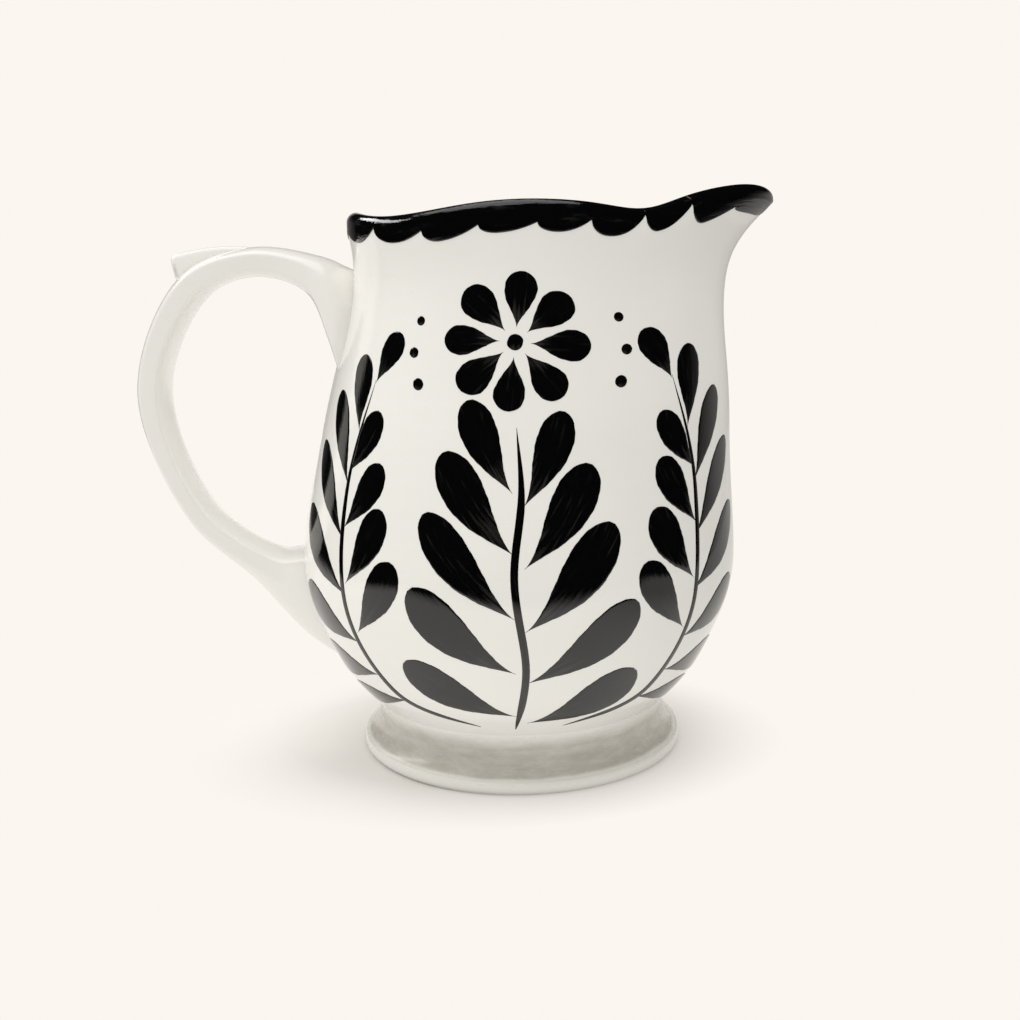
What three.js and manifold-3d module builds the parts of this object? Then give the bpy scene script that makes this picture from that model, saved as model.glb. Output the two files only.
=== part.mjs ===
// Water pitcher: a pear-shaped glazed jug with a drawn-out spout, a strap handle and a flared foot.
// Millimetres, +Z up. The spout points to +X, the handle to -X, and the table is the plane z = 0.
import * as THREE from 'three';
import { mergeVertices } from 'three/addons/utils/BufferGeometryUtils.js';
import Module from 'manifold-3d';

const wasm = await Module();
wasm.setup();

// Fit between clay members
const seam = 0.3; // gap left between two members that are luted together

// Foot ring
const footRadius = 56; // widest edge of the lip
const footHeight = 17.5; // table to the crease under the belly
const lipHeight = 4.4; // rounded lip along the table
const lipRound = 2.2; // rounding of the lip's two edges
const standWidth = 8; // flat ring that meets the table
const creaseRadius = 50.5; // waist between foot and belly
const footTopWidth = 9; // width of the ring's top, under the belly
const coveDepth = 1.8; // pull of the cove inside the crease
const coveRise = 3.5; // level of that pull, over the lip

// Wall of the vessel: rises count up from the level that is named, drops count down from it
const hipSetback = 10; // hip inside the belly's radius
const hipRise = 17.5; // over the crease of the foot
const bellyRadius = 74;
const bellyHeight = 66.5; // over the table
const shoulderSetback = 9; // shoulder inside the belly's radius
const shoulderDrop = 71.2; // under the rim
const neckSetback = 0.2; // neck inside the rim's radius
const neckDrop = 25.2; // under the rim
const rimRadius = 54.2;
const rimHeight = 182.2; // top of the rolled rim, over the table
const wall = 5;
const floorThickness = 7;

// Spout drawn out of the round wall
const throatPull = 12.9; // broad swelling of the wall below the spout
const throatSharpness = 2.8;
const beakReach = 18.2; // how far the lip is drawn out past the throat
const beakDrop = 50; // under the rim, where the throat starts to curve out to the lip
const beakCurl = 2.8; // power of that curve
const beakSharpness = 25;
const spoutRise = 7.4; // how far the sides of the lip stand over the rim
const riseSharpness = 5;
const tipDroop = 2.5; // fall of the lip's very tip
const tipSharpness = 110;
const rimDip = 3; // hollows between the crests of the hand-drawn rim
const rimCrests = 4;
const hollowDepth = 2.4; // deeper hollow of the rim beside the spout
const hollowAzimuth = 49; // degrees from the spout
const hollowSpread = 14; // degrees
const spoutSeamWidth = 62; // seam of the spout at the rim
const spoutSeamDrop = 42; // seam's lowest point, below the rim

// Rolled rim
const beadHeight = 5.6;
const beadOverhang = 0.8;

// Handle: width of the strap, then its stations, each with how far its middle line stands
// outside the neck's or the belly's radius, its level and its thickness
const strapWidth = 20;
const upperRootWidth = 36;
const lowerRootWidth = 27;
const sectionSquareness = 2.6;
const upperNeckStand = 12; // outside the neck
const upperNeckDrop = 19.7; // under the rim
const upperNeckThick = 14;
const crownStand = 33; // outside the neck
const crownDrop = 14.2; // under the rim
const crownThick = 11.4;
const bendStand = 53.6; // outside the neck
const bendDrop = 22.6; // under the rim
const bendThick = 10.6;
const gripStand = 48.8; // outside the belly
const gripDrop = 56.8; // under the rim
const gripThick = 9;
const elbowStand = 35; // outside the belly
const elbowRise = 16; // over the belly
const elbowThick = 8;
const lowerNeckStand = 12.4; // outside the belly
const lowerNeckDrop = 1.8; // under the belly
const lowerNeckThick = 12.6;

// Roots of the handle: levels of their two edges, at the cheek and where they enter the wall,
// and how far the edges of the cheek stand off the wall
const rootSink = 5; // how far the root's end lies inside the wall's face
const upperCheekTopDrop = 16; // under the rim
const upperCheekTopStand = 2.7;
const upperCheekBottomDrop = 42.4; // under the rim
const upperCheekBottomStand = 5.5;
const upperRootTopDrop = 18.7; // under the rim
const upperRootBottomDrop = 56.2; // under the rim
const lowerCheekTopRise = 4; // over the belly
const lowerCheekTopStand = 5;
const lowerCheekBottomDrop = 26.5; // under the belly
const lowerCheekBottomStand = 5;
const lowerRootTopRise = 9.5; // over the belly
const lowerRootBottomDrop = 40; // under the belly

// Thumb rest: a blunt spur on the handle's bend
const spurReach = 5.4; // blunt end, past the middle of the bend
const spurDrop = 3.3; // fall of its top from the crown to the blunt end
const spurDepth = 9.6; // height of the blunt end
const spurWidth = 13;
const spurRound = 1; // rounded edges

// Facets
const aroundSteps = 60;
const spoutCrowding = 0.5; // how much closer the facets lie at the spout than at the handle
const wallSteps = 21;
const strapSides = 18;
const strapSteps = 34;
const rootSteps = 8;
const curveSteps = 4;

// Finishes
const whiteGlaze = { color: 0xece9e3, roughness: 0.16, metalness: 0 };
const blackGlaze = { color: 0x0c0c0c, roughness: 0.14, metalness: 0 };
const taupeGlaze = { color: 0xa5a096, roughness: 0.28, metalness: 0 };

const pitcher = new THREE.Group();
pitcher.name = 'water_pitcher';

function addPiece(name, geometry, finish) {
  geometry.computeVertexNormals();
  const piece = new THREE.Mesh(geometry, new THREE.MeshStandardMaterial(finish));
  piece.name = name;
  pitcher.add(piece);
  return piece;
}

// A closed mesh as a solid that can be cut: vertices shared, triangles without area left out
function toSolid(geometry) {
  const bare = geometry.clone();
  bare.deleteAttribute('normal');
  bare.deleteAttribute('uv');
  const shared = mergeVertices(bare, 1e-4);
  const corners = shared.index.array;
  const triVerts = [];
  for (let i = 0; i < corners.length; i += 3) {
    const [a, b, c] = corners.slice(i, i + 3);
    if (a !== b && b !== c && c !== a) triVerts.push(a, b, c);
  }
  const vertProperties = new Float32Array(shared.attributes.position.array);
  return new wasm.Manifold(new wasm.Mesh({ numProp: 3, vertProperties, triVerts: new Uint32Array(triVerts) }));
}

function toGeometry(solid) {
  const mesh = solid.getMesh();
  const geometry = new THREE.BufferGeometry();
  geometry.setAttribute('position', new THREE.BufferAttribute(new Float32Array(mesh.vertProperties), 3));
  geometry.setIndex(new THREE.BufferAttribute(new Uint32Array(mesh.triVerts), 1));
  return geometry;
}

const wallTop = rimHeight - beadHeight; // seat of the rolled rim
const shoulderHeight = rimHeight - shoulderDrop;
const neckHeight = rimHeight - neckDrop;
const neckRadius = rimRadius - neckSetback;
const beakStart = rimHeight - beakDrop;

// Share of a pull that is felt at an azimuth, 1 on the spout's side and 0 on the handle's
function spoutShare(azimuth, sharpness) {
  return ((1 + Math.cos(azimuth)) / 2) ** sharpness;
}

function pullAt(azimuth, height) {
  const throat = throatPull * THREE.MathUtils.smoothstep(height, bellyHeight, neckHeight);
  const up = THREE.MathUtils.clamp((height - beakStart) / (wallTop - beakStart), 0, 1);
  const beak = beakReach * up ** beakCurl;
  return throat * spoutShare(azimuth, throatSharpness) + beak * spoutShare(azimuth, beakSharpness);
}

function liftAt(azimuth, height) {
  const rise = spoutRise * spoutShare(azimuth, riseSharpness);
  const droop = tipDroop * spoutShare(azimuth, tipSharpness);
  const dip = rimDip * (1 - Math.cos(rimCrests * azimuth)) / 2;
  const aside = (THREE.MathUtils.radToDeg(Math.abs(azimuth)) - hollowAzimuth) / hollowSpread;
  const hollow = hollowDepth * Math.exp(-aside * aside);
  return (rise - droop - dip - hollow) * THREE.MathUtils.smoothstep(height, shoulderHeight, wallTop);
}

// A turned piece: the profile goes round the axis, then the spout is drawn out of it
function turned(profile) {
  const geometry = new THREE.LatheGeometry(profile, aroundSteps);
  geometry.rotateX(Math.PI / 2);
  const position = geometry.attributes.position;
  for (let i = 0; i < position.count; i += 1) {
    const even = Math.atan2(position.getY(i), position.getX(i));
    const azimuth = even - spoutCrowding * Math.sin(even);
    const height = position.getZ(i);
    const radius = Math.hypot(position.getX(i), position.getY(i)) + pullAt(azimuth, height);
    const lifted = height + liftAt(azimuth, height);
    position.setXYZ(i, radius * Math.cos(azimuth), radius * Math.sin(azimuth), lifted);
  }
  return toSolid(geometry);
}

// Profile of the wall's outside, from the crease to the seat of the rolled rim
const wallCurve = new THREE.SplineCurve([
  new THREE.Vector2(creaseRadius, footHeight),
  new THREE.Vector2(bellyRadius - hipSetback, footHeight + hipRise),
  new THREE.Vector2(bellyRadius, bellyHeight),
  new THREE.Vector2(bellyRadius - shoulderSetback, shoulderHeight),
  new THREE.Vector2(neckRadius, neckHeight),
  new THREE.Vector2(rimRadius, wallTop),
]);

// Points of the wall's outside, moved outwards by a distance that may be negative
function wallLine(outwards) {
  const line = [];
  for (let i = 0; i <= wallSteps; i += 1) {
    const point = wallCurve.getPoint(i / wallSteps);
    const along = wallCurve.getTangent(i / wallSteps);
    line.push(new THREE.Vector2(point.x + along.y * outwards, point.y - along.x * outwards));
  }
  return line;
}

// The inside of the wall, cut off at the floor and brought level with the seat of the rim
function insideLine(floorTop) {
  const line = wallLine(-wall);
  const first = line.findIndex((point) => point.y > floorTop);
  const below = line[first - 1];
  const share = (floorTop - below.y) / (line[first].y - below.y);
  const foot = below.clone().lerp(line[first], share);
  const kept = line.slice(first, -1).filter((point) => point.y < wallTop - wall / 2);
  return [foot, ...kept, new THREE.Vector2(rimRadius - wall, wallTop)];
}

function makeShell() {
  const floorTop = footHeight + floorThickness;
  return turned([
    new THREE.Vector2(0, footHeight),
    ...wallLine(0),
    ...insideLine(floorTop).reverse(),
    new THREE.Vector2(0, floorTop),
  ]);
}

// The room that the vessel takes up with its inside filled, a seam larger all round
function makeEnvelope() {
  const top = new THREE.Vector2(0, rimHeight);
  const line = wallLine(seam);
  return turned([new THREE.Vector2(0, line[0].y), ...line, top]);
}

// A rounded wedge through the wall on the spout's side, as wide as the seam of the spout
function makeSpoutCutter(larger) {
  const half = spoutSeamWidth / 2 + larger;
  const tip = rimHeight - spoutSeamDrop - larger;
  const over = rimHeight + spoutRise + beadHeight;
  const outline = new THREE.Shape();
  outline.moveTo(-half, over);
  outline.lineTo(-half, wallTop);
  outline.quadraticCurveTo(-half / 2, tip, 0, tip);
  outline.quadraticCurveTo(half / 2, tip, half, wallTop);
  outline.lineTo(half, over);
  outline.closePath();
  const depth = rimRadius + throatPull + beakReach + wall;
  const cutter = new THREE.ExtrudeGeometry(outline, { depth, bevelEnabled: false, curveSegments: curveSteps });
  cutter.rotateX(Math.PI / 2);
  cutter.rotateZ(Math.PI / 2);
  return toSolid(cutter);
}

function makeRimBead() {
  const inner = rimRadius - wall - beadOverhang;
  const outer = rimRadius + beadOverhang;
  const seat = wallTop + seam;
  const round = (outer - inner) / 2;
  const section = new THREE.Shape();
  section.moveTo(inner, seat);
  section.lineTo(outer, seat);
  section.lineTo(outer, rimHeight - round);
  section.absellipse((inner + outer) / 2, rimHeight - round, round, round, 0, Math.PI, false, 0);
  section.lineTo(inner, seat);
  return turned(section.getPoints(curveSteps));
}

function makeFootRing() {
  const standOuter = footRadius - lipRound;
  const top = footHeight - seam;
  const section = new THREE.Shape();
  section.moveTo(standOuter - standWidth, 0);
  section.lineTo(standOuter, 0);
  section.quadraticCurveTo(footRadius, 0, footRadius, lipHeight / 2);
  section.quadraticCurveTo(footRadius, lipHeight, footRadius - lipRound / 2, lipHeight);
  section.quadraticCurveTo(creaseRadius - coveDepth, lipHeight + coveRise, creaseRadius, top);
  section.lineTo(creaseRadius - footTopWidth, top);
  section.lineTo(standOuter - standWidth, 0);
  return turned(section.getPoints(curveSteps));
}

// Reach of the wall's face on the handle's side, at a height
function wallReach(height) {
  const line = wallLine(0);
  const above = line.findIndex((point) => point.y > height);
  const share = (height - line[above - 1].y) / (line[above].y - line[above - 1].y);
  return line[above - 1].clone().lerp(line[above], share).x;
}

// A station of the handle holds a point on its outer edge and one on its inner edge
function rootStation(outerHeight, outerStand, innerHeight, innerStand) {
  return {
    outer: new THREE.Vector3(-wallReach(outerHeight) - outerStand, 0, outerHeight),
    inner: new THREE.Vector3(-wallReach(innerHeight) - innerStand, 0, innerHeight),
  };
}

const upperRoot = rootStation(
  rimHeight - upperRootTopDrop,
  -rootSink,
  rimHeight - upperRootBottomDrop,
  -rootSink,
);
const upperCheek = rootStation(
  rimHeight - upperCheekTopDrop,
  upperCheekTopStand,
  rimHeight - upperCheekBottomDrop,
  upperCheekBottomStand,
);
const lowerCheek = rootStation(
  bellyHeight - lowerCheekBottomDrop,
  lowerCheekBottomStand,
  bellyHeight + lowerCheekTopRise,
  lowerCheekTopStand,
);
const lowerRoot = rootStation(
  bellyHeight - lowerRootBottomDrop,
  -rootSink,
  bellyHeight + lowerRootTopRise,
  -rootSink,
);
const crown = new THREE.Vector3(-neckRadius - crownStand, 0, rimHeight - crownDrop);
const bend = new THREE.Vector3(-neckRadius - bendStand, 0, rimHeight - bendDrop);
const across = new THREE.Vector3(0, 1, 0);

function strapStations() {
  const upperNeck = new THREE.Vector3(-neckRadius - upperNeckStand, 0, rimHeight - upperNeckDrop);
  const grip = new THREE.Vector3(-bellyRadius - gripStand, 0, rimHeight - gripDrop);
  const elbow = new THREE.Vector3(-bellyRadius - elbowStand, 0, bellyHeight + elbowRise);
  const lowerNeck = new THREE.Vector3(-bellyRadius - lowerNeckStand, 0, bellyHeight - lowerNeckDrop);
  const middles = [
    { place: upperCheek.outer.clone().lerp(upperCheek.inner, 1 / 2) },
    { place: upperNeck, thick: upperNeckThick },
    { place: crown, thick: crownThick },
    { place: bend, thick: bendThick },
    { place: grip, thick: gripThick },
    { place: elbow, thick: elbowThick },
    { place: lowerNeck, thick: lowerNeckThick },
    { place: lowerCheek.outer.clone().lerp(lowerCheek.inner, 1 / 2) },
  ];
  return middles.slice(1, -1).map(({ place, thick }, i) => {
    const along = middles[i + 2].place.clone().sub(middles[i].place).normalize();
    const inwards = along.cross(across);
    return {
      outer: place.clone().addScaledVector(inwards, -thick / 2),
      inner: place.clone().addScaledVector(inwards, thick / 2),
    };
  });
}

const stations = [upperRoot, upperCheek, ...strapStations(), lowerCheek, lowerRoot];
const outerEdge = new THREE.CatmullRomCurve3(stations.map((station) => station.outer));
const innerEdge = new THREE.CatmullRomCurve3(stations.map((station) => station.inner));
const rootStations = 2; // stations in each root, before the strap itself starts
const upperJoin = rootStations / (stations.length - 1);
const lowerJoin = 1 - upperJoin;

// A stretch of the handle between two places along it, with an oval section from edge to edge
function makeStrap(from, to, steps, trim, larger) {
  const stretch = new THREE.CylinderGeometry(1, 1, 1, strapSides, steps);
  const position = stretch.attributes.position;
  const round = 2 / sectionSquareness;
  for (let i = 0; i < position.count; i += 1) {
    const share = position.getY(i) + 1 / 2;
    const place = from + (to - from) * share;
    const outer = outerEdge.getPoint(place);
    const inwards = innerEdge.getPoint(place).sub(outer);
    const thick = inwards.length();
    const middle = outer.addScaledVector(inwards, 1 / 2);
    inwards.normalize();
    const along = across.clone().cross(inwards);
    const flare = THREE.MathUtils.smoothstep(thick, upperNeckThick, upperCheekBottomDrop - upperCheekTopDrop);
    const rootWidth = place < 1 / 2 ? upperRootWidth : lowerRootWidth;
    const wide = THREE.MathUtils.lerp(strapWidth, rootWidth, flare);
    const u = Math.sign(position.getX(i)) * Math.abs(position.getX(i)) ** round;
    const v = Math.sign(position.getZ(i)) * Math.abs(position.getZ(i)) ** round;
    const point = middle.addScaledVector(inwards, u * (thick / 2 + larger));
    point.addScaledVector(across, v * (wide / 2 + larger));
    if (share === 0) point.addScaledVector(along, trim);
    if (share === 1) point.addScaledVector(along, -trim);
    position.setXYZ(i, point.x, point.y, point.z);
  }
  return toSolid(stretch);
}

// The spur's side outline reaches down into the strap, which is then cut away from it
function makeThumbRest(strapRoom) {
  const crownTop = crown.z + crownThick / 2;
  const end = bend.x - spurReach;
  const top = crownTop - spurDrop;
  const outline = new THREE.Shape();
  outline.moveTo(crown.x, crown.z);
  outline.lineTo(crown.x, crownTop);
  outline.quadraticCurveTo((end + crown.x) / 2, crownTop, end, top);
  outline.lineTo(end, top - spurDepth);
  outline.lineTo(bend.x, top - spurDepth);
  outline.closePath();
  const spur = new THREE.ExtrudeGeometry(outline, {
    depth: spurWidth - 2 * spurRound,
    bevelThickness: spurRound,
    bevelSize: spurRound,
    bevelOffset: -spurRound,
    bevelSegments: 2,
    curveSegments: curveSteps,
  });
  spur.rotateX(Math.PI / 2);
  spur.translate(0, spurWidth / 2 - spurRound, 0);
  return toSolid(spur).subtract(strapRoom);
}

const shell = makeShell();
const envelope = makeEnvelope();
addPiece('vessel_body', toGeometry(shell.subtract(makeSpoutCutter(seam))), whiteGlaze);
addPiece('pouring_spout', toGeometry(shell.intersect(makeSpoutCutter(0))), whiteGlaze);
addPiece('rim_bead', toGeometry(makeRimBead()), blackGlaze);
addPiece('foot_ring', toGeometry(makeFootRing()), taupeGlaze);
addPiece('handle_strap', toGeometry(makeStrap(upperJoin, lowerJoin, strapSteps, seam / 2, 0)), whiteGlaze);
const upperCollar = makeStrap(0, upperJoin, rootSteps, seam / 2, 0).subtract(envelope);
addPiece('upper_handle_collar', toGeometry(upperCollar), whiteGlaze);
const lowerCollar = makeStrap(lowerJoin, 1, rootSteps, seam / 2, 0).subtract(envelope);
addPiece('lower_handle_collar', toGeometry(lowerCollar), whiteGlaze);
const thumbRest = makeThumbRest(makeStrap(upperJoin, lowerJoin, strapSteps, 0, seam));
addPiece('thumb_rest', toGeometry(thumbRest), whiteGlaze);

// The pitcher stands with the middle of its box, spout to handle, over the origin
const box = new THREE.Box3().setFromObject(pitcher);
pitcher.position.x = -(box.min.x + box.max.x) / 2;

export default pitcher;
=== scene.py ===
import math
import random

import bmesh
import bpy
from mathutils import Matrix, Vector


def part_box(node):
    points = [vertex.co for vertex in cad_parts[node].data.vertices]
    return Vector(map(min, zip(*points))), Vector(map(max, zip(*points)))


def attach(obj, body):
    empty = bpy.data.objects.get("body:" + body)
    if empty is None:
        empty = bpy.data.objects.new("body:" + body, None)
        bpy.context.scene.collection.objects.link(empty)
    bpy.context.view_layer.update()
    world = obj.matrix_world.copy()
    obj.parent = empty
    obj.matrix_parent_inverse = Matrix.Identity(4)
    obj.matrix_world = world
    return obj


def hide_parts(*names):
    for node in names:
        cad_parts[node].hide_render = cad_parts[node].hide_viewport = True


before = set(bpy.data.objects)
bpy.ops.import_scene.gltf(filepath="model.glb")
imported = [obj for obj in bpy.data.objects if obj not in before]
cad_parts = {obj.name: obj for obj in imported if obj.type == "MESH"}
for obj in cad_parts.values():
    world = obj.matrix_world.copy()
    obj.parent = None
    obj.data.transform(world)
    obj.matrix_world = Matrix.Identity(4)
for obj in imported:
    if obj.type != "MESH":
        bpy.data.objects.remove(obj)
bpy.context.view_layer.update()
mm = 0.001  # sizes below are in millimetres

footLow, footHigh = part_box("foot_ring")
axisX = (footLow.x + footHigh.x) / 2 / mm  # the vessel's axis in the frame
print("frame loaded, vessel axis at x", round(axisX, 2), "mm")


# camera, as the photograph was taken
lookOut = {
    "back": 405.0,  # in front of the vessel's axis
    "height": 160.0,
    "pitch": 11.017,  # degrees down
    "roll": -1.029,
    "lens": 41.83,
    "shift": -0.00797,
}


def setCamera(look):
    eye = bpy.data.cameras.new("studio_camera")
    eye.lens = look["lens"]
    eye.sensor_width = 36.0
    eye.sensor_fit = "HORIZONTAL"
    eye.shift_x = look["shift"]
    eye.clip_start = 0.01
    eye.clip_end = 60.0
    holder = bpy.data.objects.new("studio_camera", eye)
    bpy.context.scene.collection.objects.link(holder)
    place = Matrix.Translation((axisX * mm, -look["back"] * mm, look["height"] * mm))
    tilt = Matrix.Rotation(math.radians(90.0 - look["pitch"]), 4, "X")
    turn = Matrix.Rotation(math.radians(look["roll"]), 4, "Z")
    holder.matrix_world = place @ tilt @ turn
    bpy.context.scene.camera = holder


setCamera(lookOut)


# small helpers for meshes and nodes
def clampTo(value, low, high):
    return min(max(value, low), high)


def smoothStep(value, low, high):
    t = clampTo((value - low) / (high - low), 0.0, 1.0)
    return t * t * (3.0 - 2.0 * t)


def mixOf(a, b, t):
    return a + (b - a) * t


def makePiece(name, points, faces, finish, nodes=(), uvs=None, thin=None, sharpAngle=None):
    mesh = bpy.data.meshes.new(name)
    mesh.from_pydata(points, [], faces)
    mesh.polygons.foreach_set("use_smooth", [True] * len(mesh.polygons))
    if uvs is not None:
        layer = mesh.uv_layers.new(name="brush")
        for loop in mesh.loops:
            layer.data[loop.index].uv = uvs[loop.vertex_index]
    if thin is not None:
        mesh.attributes.new("thin", "FLOAT", "POINT").data.foreach_set("value", thin)
    tidy = bmesh.new()
    tidy.from_mesh(mesh)
    bmesh.ops.recalc_face_normals(tidy, faces=tidy.faces)
    tidy.to_mesh(mesh)
    tidy.free()
    if sharpAngle is not None:
        mesh.set_sharp_from_angle(angle=math.radians(sharpAngle))
    piece = bpy.data.objects.new(name, mesh)
    bpy.context.scene.collection.objects.link(piece)
    mesh.materials.append(finish)
    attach(piece, "root")
    if nodes:
        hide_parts(*nodes)
    print("made", name, len(points), "points")
    return piece


# quads between rings of points that follow each other in the list
def ringFaces(rows, sides, closed=False, base=0):
    faces = []
    for i in range(rows if closed else rows - 1):
        low, high = base + i * sides, base + (i + 1) % rows * sides
        for k in range(sides):
            n = (k + 1) % sides
            faces.append((low + k, low + n, high + n, high + k))
    return faces


def addNode(tree, kind, values=None, **settings):
    made = tree.nodes.new(kind)
    for key, value in settings.items():
        setattr(made, key, value)
    for key, value in (values or {}).items():
        made.inputs[key].default_value = value
    return made


def startFinish(name):
    finish = bpy.data.materials.new(name)
    finish.use_nodes = True
    tree = finish.node_tree
    return finish, tree, tree.nodes["Principled BSDF"]


def stretch(tree, source, fromLow, fromHigh, toLow, toHigh):
    made = addNode(tree, "ShaderNodeMapRange", {1: fromLow, 2: fromHigh, 3: toLow, 4: toHigh})
    tree.links.new(source, made.inputs[0])
    return made.outputs[0]


def blendColour(tree, factor, first, second):
    made = addNode(tree, "ShaderNodeMix", data_type="RGBA")
    for socket, value in ((6, first), (7, second)):
        if isinstance(value, tuple):
            made.inputs[socket].default_value = (*value, 1.0)
        else:
            tree.links.new(value, made.inputs[socket])
    tree.links.new(factor, made.inputs[0])
    return made.outputs[2]


def combine(tree, operation, first, second):
    made = addNode(tree, "ShaderNodeMath", operation=operation)
    for socket, value in ((0, first), (1, second)):
        if isinstance(value, float):
            made.inputs[socket].default_value = value
        else:
            tree.links.new(value, made.inputs[socket])
    return made.outputs[0]


def noiseOf(tree, where, scale, detail=3.0, rough=0.55):
    made = addNode(tree, "ShaderNodeTexNoise", {"Scale": scale, "Detail": detail, "Roughness": rough})
    tree.links.new(where, made.inputs["Vector"])
    return made.outputs["Fac"]


def scaled(tree, where, scale):
    made = addNode(tree, "ShaderNodeMapping", {"Scale": scale})
    tree.links.new(where, made.inputs["Vector"])
    return made.outputs["Vector"]


def partsOf(tree, where):
    made = addNode(tree, "ShaderNodeSeparateXYZ")
    tree.links.new(where, made.inputs["Vector"])
    return made.outputs


# rays from the camera, and rays that a glaze mirrors
def raysOf(tree):
    rays = addNode(tree, "ShaderNodeLightPath").outputs
    shiny = combine(tree, "MAXIMUM", rays["Is Glossy Ray"], rays["Is Transmission Ray"])
    return rays["Is Camera Ray"], shiny


def bumpFrom(tree, shader, height, strength, distance):
    made = addNode(tree, "ShaderNodeBump", {"Strength": strength, "Distance": distance})
    tree.links.new(height, made.inputs["Height"])
    tree.links.new(made.outputs["Normal"], shader.inputs["Normal"])


# white glaze on wall, handle and thumb rest
whiteLook = {
    "light": (0.87, 0.855, 0.81),
    "shade": (0.845, 0.83, 0.785),
    "speck": (0.46, 0.42, 0.36),
    "gloss": (0.06, 0.14),  # roughness, from and to
    "ior": 1.52,
    # repeats in a metre
    "clouds": 22.0,
    "specks": 210.0,
    "speckGroups": 95.0,
    "glossPatches": 60.0,
    "rings": 55.0,  # left by throwing
    "peel": 420.0,
    "swells": 34.0,
    "ringShare": 0.3,
    "swellShare": 1.2,
    "relief": (0.12, 0.0006),  # strength of the bump, height in metres
}


def makeWhiteGlaze(look):
    finish, tree, shader = startFinish("white_glaze")
    where = addNode(tree, "ShaderNodeTexCoord").outputs["Object"]
    clouds = stretch(tree, noiseOf(tree, where, look["clouds"], 4.0), 0.35, 0.7, 0.0, 1.0)
    tone = blendColour(tree, clouds, look["light"], look["shade"])
    cells = addNode(tree, "ShaderNodeTexVoronoi", {"Scale": look["specks"]})
    tree.links.new(where, cells.inputs["Vector"])
    dots = stretch(tree, cells.outputs["Distance"], 0.02, 0.07, 1.0, 0.0)
    few = stretch(tree, noiseOf(tree, where, look["speckGroups"], 1.0), 0.66, 0.7, 0.0, 0.6)
    specks = combine(tree, "MULTIPLY", dots, few)
    tree.links.new(blendColour(tree, specks, tone, look["speck"]), shader.inputs["Base Color"])
    patches = noiseOf(tree, where, look["glossPatches"])
    tree.links.new(stretch(tree, patches, 0.3, 0.7, *look["gloss"]), shader.inputs["Roughness"])
    shader.inputs["IOR"].default_value = look["ior"]
    rings = addNode(tree, "ShaderNodeTexWave", {"Scale": look["rings"], "Distortion": 1.6, "Detail": 1.0})
    rings.bands_direction = "Z"
    tree.links.new(where, rings.inputs["Vector"])
    peel = noiseOf(tree, where, look["peel"], 2.0)
    waves = combine(tree, "MULTIPLY", rings.outputs["Fac"], look["ringShare"])
    swells = combine(tree, "MULTIPLY", noiseOf(tree, where, look["swells"], 2.0), look["swellShare"])
    uneven = combine(tree, "ADD", combine(tree, "ADD", waves, peel), swells)
    bumpFrom(tree, shader, uneven, *look["relief"])
    return finish


# black glaze, laid on with a brush: deep where it pools, thinner in streaks and along the tails
blackLook = {
    "deep": (0.0013, 0.0013, 0.0014),
    "thin": (0.03, 0.029, 0.027),
    "gloss": (0.03, 0.12),
    "ior": 1.66,
    "wornShare": 0.22,  # how far the tails thin out
    "thinFrom": (0.6, 0.86),  # streaks are deep below this and thin above
    "bumpHeight": 0.0008,
    # streaks along and across the brush's way, strength of their bump
    "rimStreaks": (0.8, 6.0, 0.28),
    "leafStreaks": (0.3, 4.0, 0.04),
}


def makeBlackGlaze(name, look, along, across, streakBump):
    finish, tree, shader = startFinish(name)
    strokes = addNode(tree, "ShaderNodeUVMap", uv_map="brush").outputs["UV"]
    streaks = noiseOf(tree, scaled(tree, strokes, (along, across, 1.0)), 1.0, 4.0, 0.6)
    worn = addNode(tree, "ShaderNodeAttribute", attribute_name="thin").outputs["Fac"]
    spare = combine(tree, "ADD", streaks, combine(tree, "MULTIPLY", worn, look["wornShare"]))
    tone = stretch(tree, spare, *look["thinFrom"], 0.0, 1.0)
    tree.links.new(blendColour(tree, tone, look["deep"], look["thin"]), shader.inputs["Base Color"])
    tree.links.new(stretch(tree, streaks, 0.35, 0.75, *look["gloss"]), shader.inputs["Roughness"])
    shader.inputs["IOR"].default_value = look["ior"]
    bumpFrom(tree, shader, streaks, streakBump, look["bumpHeight"])
    return finish


# thin taupe glaze on the foot, white where it meets the belly, pale on the lip, bare clay underneath; the
# cove's taupe is partly painted shade under the belly, the pale lip partly painted light
footLook = {
    # the cove colour is the glaze's own taupe darkened with painted shade, the lip colour is lightened with
    # painted light
    "cove": (0.45, 0.424, 0.37),
    "mottle": (0.55, 0.524, 0.465),
    "lip": (0.74, 0.725, 0.675),
    "white": (0.86, 0.845, 0.8),
    "clay": (0.56, 0.46, 0.36),
    "gloss": (0.16, 0.32),
    "ior": 1.5,
    "drawnOut": (1.0, 1.0, 3.2),  # patterns run long round the foot
    # repeats in a metre
    "mottling": 120.0,
    "edgeWobble": 70.0,
    "grain": 260.0,
    # up the section, in millimetres
    "wobble": 0.35,
    "lipEdge": (6.8, 8.0),
    "whiteEdge": (17.0, 22.0),
    "clayEdge": (-0.6, 0.0),
    "relief": (0.05, 0.0004),
}


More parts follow.
